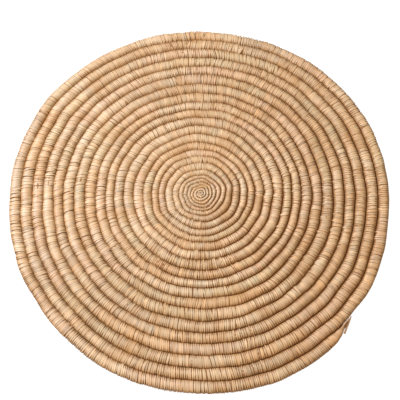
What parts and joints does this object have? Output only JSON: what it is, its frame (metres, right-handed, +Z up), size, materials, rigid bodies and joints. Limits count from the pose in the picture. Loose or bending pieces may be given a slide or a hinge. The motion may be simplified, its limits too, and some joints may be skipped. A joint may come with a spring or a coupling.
{
  "type": "raffia trivet",
  "caption": "Flat round table mat made of one raffia-wrapped grass coil wound in a spiral, ridged on both faces, with a blunt tail and short loose raffia ends at its rim.",
  "frame": {"origin": "on the surface the mat rests on, under the middle of the mat's outline", "axes": "+Z up out of the mat's upper face; +X and +Y in the mat's plane, with the coil's tail in the quarter between +X and -Y"},
  "size_m": [0.2928, 0.2965, 0.0075],
  "materials": {
    "raffia": "dry natural raffia wrap, straw to tan, low sheen",
    "loose_raffia": "dry natural raffia strip, slightly pinkish"
  },
  "bodies": {
    "root": {"coil_mat": "raffia", "loose_strand_1": "loose_raffia", "loose_strand_2": "loose_raffia", "loose_strand_3": "loose_raffia"}
  },
  "joints": []
}
